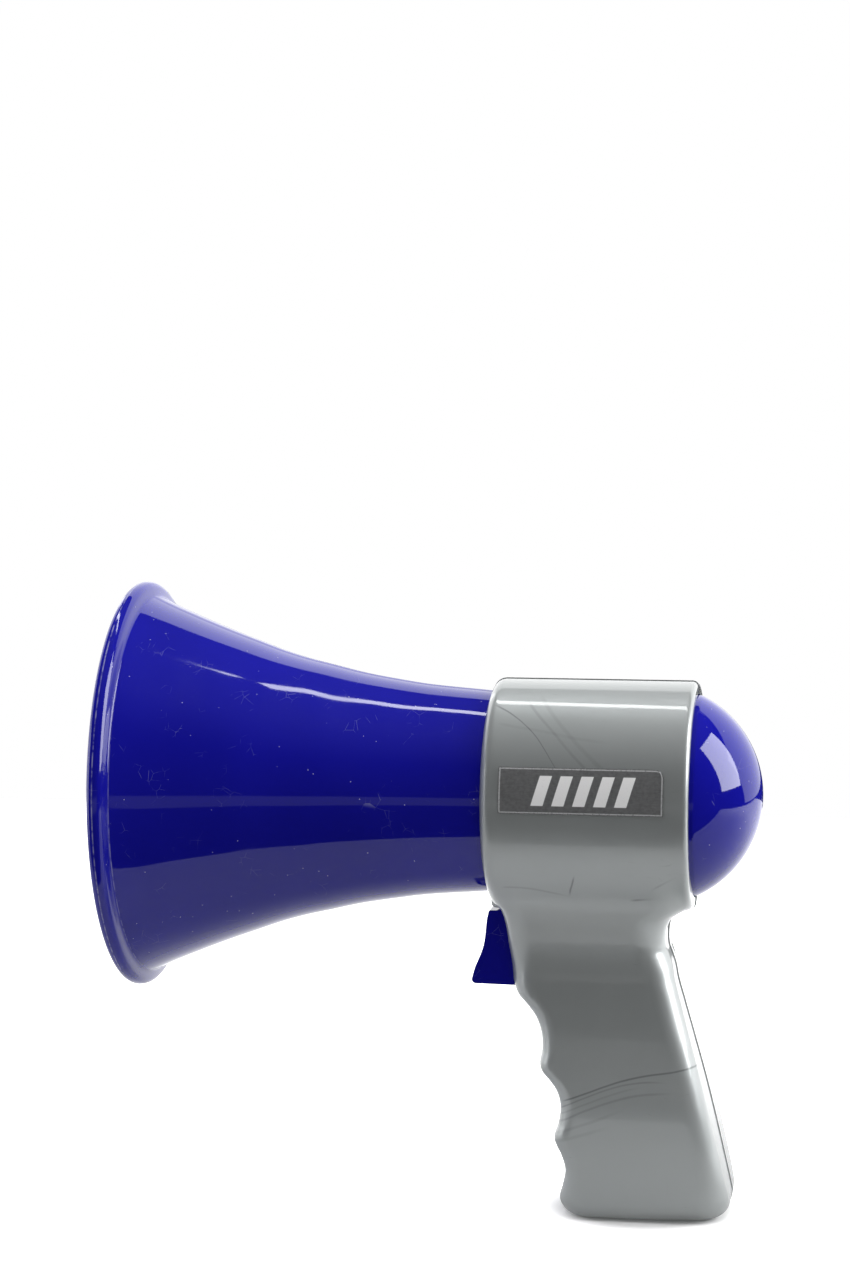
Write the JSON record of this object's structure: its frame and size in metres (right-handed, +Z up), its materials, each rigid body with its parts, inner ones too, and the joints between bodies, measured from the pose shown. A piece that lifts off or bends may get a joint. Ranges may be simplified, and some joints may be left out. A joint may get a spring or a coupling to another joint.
{
  "type": "handheld megaphone",
  "caption": "Toy handheld megaphone: flared horn, two-shell pistol grip with finger grooves, sprung trigger, domed microphone cap, speaker and batteries inside.",
  "frame": {"origin": "centre of the object's box in X and Y, at the bottom face of the grip's base", "axes": "+Z up, the horn's mouth faces -Y, the dome faces +Y, +X is the megaphone's left side"},
  "size_m": [0.13, 0.2005, 0.1986],
  "materials": {
    "blue_gloss": "gloss",
    "silver_gloss": "gloss",
    "label_print": "satin",
    "steel": "satin",
    "brass": "satin",
    "black_plastic": "matte",
    "cone_paper": "matte",
    "foam": "matte",
    "magnet": "satin",
    "board": "satin",
    "cell": "satin",
    "lead_red": "satin",
    "lead_black": "satin"
  },
  "bodies": {
    "case": {"amplifier_chip": "black_plastic", "battery_1": "cell", "battery_2": "cell", "battery_3": "cell", "battery_4": "cell", "battery_door": "silver_gloss", "battery_lead_black": "lead_black", "battery_lead_red": "lead_red", "battery_tray": "black_plastic", "board_screw_1": "steel", "board_screw_2": "steel", "capacitor_1": "lead_black", "capacitor_2": "lead_black", "case_screw_1": "steel", "case_screw_2": "steel", "case_screw_3": "steel", "case_screw_4": "steel", "case_screw_5": "steel", "circuit_board": "board", "contact_bottom_front": "steel", "contact_bottom_rear": "steel", "contact_spring_1": "steel", "contact_spring_2": "steel", "contact_spring_3": "steel", "contact_spring_4": "steel", "contact_top_front": "steel", "contact_top_rear": "steel", "door_screw": "steel", "horn": "blue_gloss", "label_left": "label_print", "label_right": "label_print", "left_shell": "silver_gloss", "microphone_capsule": "steel", "microphone_lead": "lead_black", "microphone_sleeve": "foam", "rear_dome": "blue_gloss", "right_shell": "silver_gloss", "speaker_basket": "steel", "speaker_cone": "cone_paper", "speaker_gasket": "foam", "speaker_grille": "blue_gloss", "speaker_lead_1": "lead_red", "speaker_lead_2": "lead_black", "speaker_magnet": "magnet", "speaker_retainer": "black_plastic", "switch_lead": "lead_red", "switch_lever": "brass", "trigger_pin": "steel", "trigger_spring": "steel", "trigger_switch": "black_plastic"},
    "trigger": {"trigger": "blue_gloss"}
  },
  "joints": [
    {"name": "trigger_pull", "type": "hinge", "parent": "case", "child": "trigger", "pos_m": [0, 0.026, 0.0931], "axis": [1, 0, 0], "range_deg": [0, 8], "stiffness_Nm_per_rad": 0.3, "springref_deg": -5.73, "deforming": ["trigger_spring"]}
  ]
}
